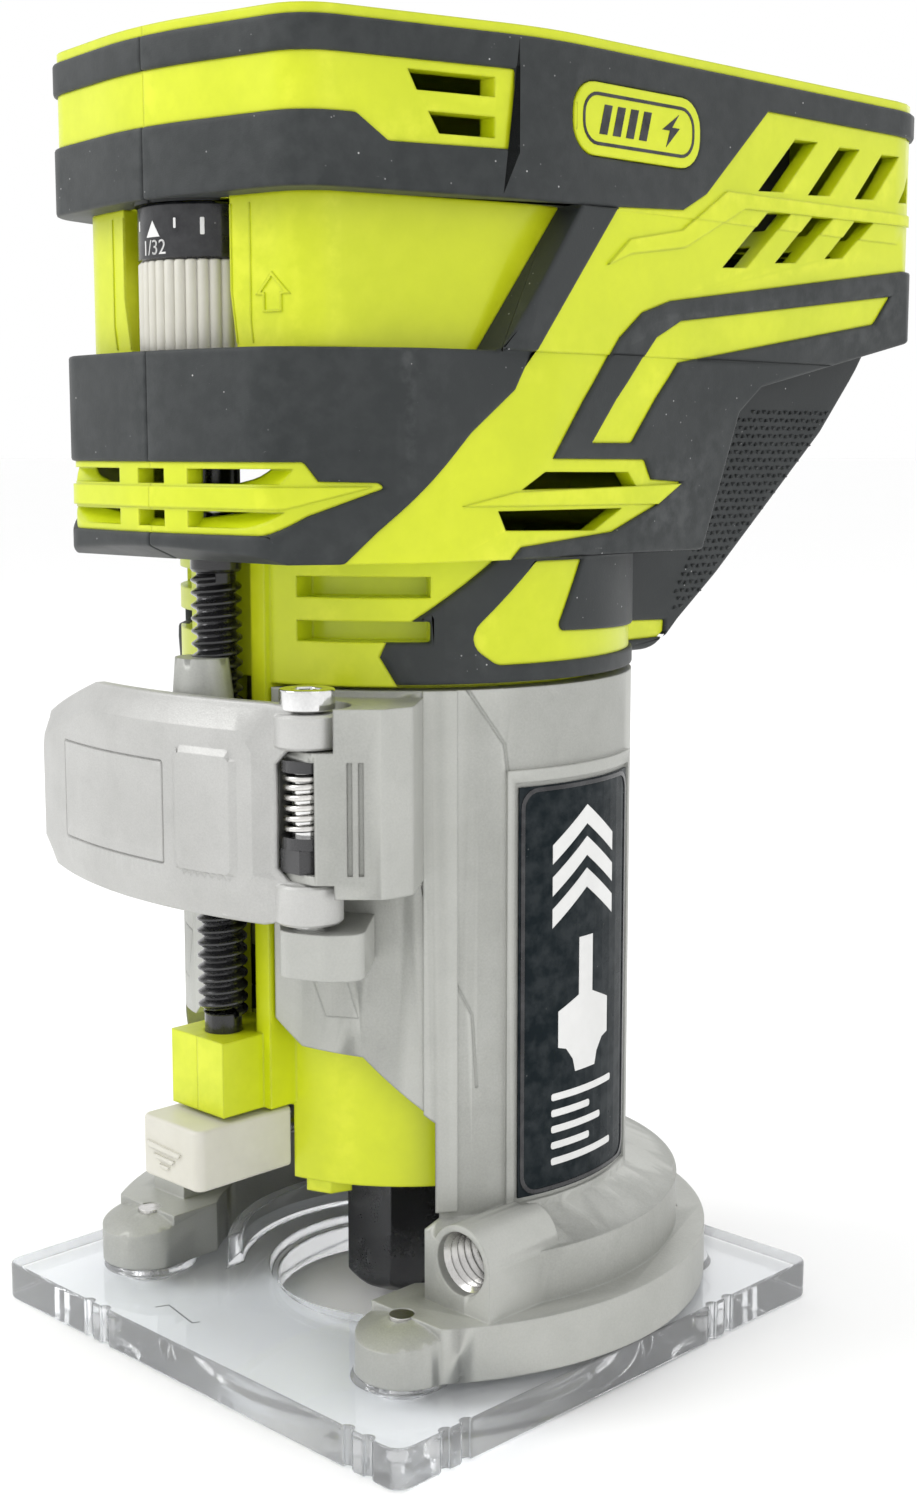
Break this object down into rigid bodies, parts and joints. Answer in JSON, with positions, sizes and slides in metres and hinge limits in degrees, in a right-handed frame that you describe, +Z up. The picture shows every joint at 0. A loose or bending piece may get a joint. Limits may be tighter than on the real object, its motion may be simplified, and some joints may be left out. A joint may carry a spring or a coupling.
{
  "type": "cordless trim router",
  "caption": "Compact cordless trim router: a motor unit that slides in a clamped cast base on a clear square sub-base, with a depth screw, dial and spindle lock.",
  "frame": {"origin": "centre of the sub-base's underside, on the spindle's axis", "axes": "+Z up along the spindle, away from the work; -Y is the front, with the depth screw and the clamp lever; +X is the side with the edge-guide hole"},
  "size_m": [0.105, 0.1504, 0.2132],
  "materials": {
    "clear_plate": "clear moulded polycarbonate, polished",
    "cast_alloy": "die-cast alloy, fine bead-blasted silver",
    "lime_plastic": "moulded yellow-green shell, fine satin grain",
    "charcoal_rubber": "moulded charcoal overmould, matt",
    "black_label": "black film label",
    "chrome_steel": "bright plated",
    "bright_steel": "ground steel",
    "black_steel": "black oxide, oiled",
    "bronze": "turned bronze",
    "motor_steel": "dark plated steel",
    "magnet": "ferrite",
    "bearing_alloy": "machined die-casting",
    "copper": "copper",
    "carbon": "carbon",
    "black_plastic": "moulded black nylon",
    "board": "circuit board",
    "ivory_plastic": "ivory moulded plastic",
    "dial_black": "black moulded ring with white marks"
  },
  "bodies": {
    "base": {"sub_base": "clear_plate", "sub_base_screws": "bright_steel", "base_casting": "cast_alloy", "half_nut": "bronze", "pivot_bolt": "chrome_steel", "clamp_nut": "black_steel", "clamp_washers": "black_steel", "clamp_spring": "bright_steel", "side_label_right": "black_label", "side_label_left": "black_label"},
    "clamp_lever": {"clamp_lever": "cast_alloy"},
    "motor_unit": {"housing_right": "lime_plastic", "housing_left": "lime_plastic", "overmould_right": "charcoal_rubber", "overmould_left": "charcoal_rubber", "badge_right": "lime_plastic", "badge_left": "lime_plastic", "housing_screws": "bright_steel", "motor_can": "motor_steel", "magnets": "magnet", "bearing_plate": "bearing_alloy", "lower_bearing": "bright_steel", "upper_bearing": "bright_steel", "brush_holders": "black_plastic", "carbon_brushes": "carbon", "brush_spring_right": "bright_steel", "brush_spring_left": "bright_steel", "battery_socket": "black_plastic", "battery_terminals": "bronze", "switch_frame": "black_plastic", "control_board": "board", "lock_spring": "bright_steel"},
    "depth_screw": {"depth_screw": "black_steel", "screw_collar": "bright_steel", "dial_grip": "ivory_plastic", "dial_ring": "dial_black"},
    "lock_button": {"lock_button": "ivory_plastic", "lock_pin": "bright_steel"},
    "switch_rocker": {"switch_rocker": "black_plastic"},
    "spindle": {"spindle": "bright_steel", "armature_core": "motor_steel", "armature_windings": "copper", "commutator": "copper", "cooling_fan": "black_plastic", "collet": "bright_steel", "collet_nut": "black_steel"}
  },
  "joints": [
    {"name": "depth_slide", "type": "slide", "parent": "base", "child": "motor_unit", "axis": [0, 0, 1], "range_m": [0, 0.02]},
    {"name": "lever_hinge", "type": "hinge", "parent": "base", "child": "clamp_lever", "pos_m": [0.0242, -0.0435, 0.096], "axis": [0, 0, 1], "range_deg": [0, 100]},
    {"name": "depth_screw_turn", "type": "hinge", "parent": "motor_unit", "child": "depth_screw", "pos_m": [0, -0.041, 0.1], "axis": [0, 0, 1], "range_deg": [-10, 3610]},
    {"name": "lock_press", "type": "slide", "parent": "motor_unit", "child": "lock_button", "axis": [0, 1, 0], "range_m": [0, 0.004], "stiffness_N_per_m": 600, "springref_m": -0.002, "deforming": ["lock_spring"]},
    {"name": "switch_tilt", "type": "hinge", "parent": "motor_unit", "child": "switch_rocker", "pos_m": [0, -0.02, 0.206], "axis": [1, 0, 0], "range_deg": [0, 12]},
    {"name": "spindle_spin", "type": "hinge", "parent": "motor_unit", "child": "spindle", "pos_m": [0, 0, 0.1], "axis": [0, 0, 1], "continuous": true}
  ],
  "couplings": [
    {"joint": "depth_screw_turn", "follows": "depth_slide", "rad_per_m": 3141.6}
  ]
}
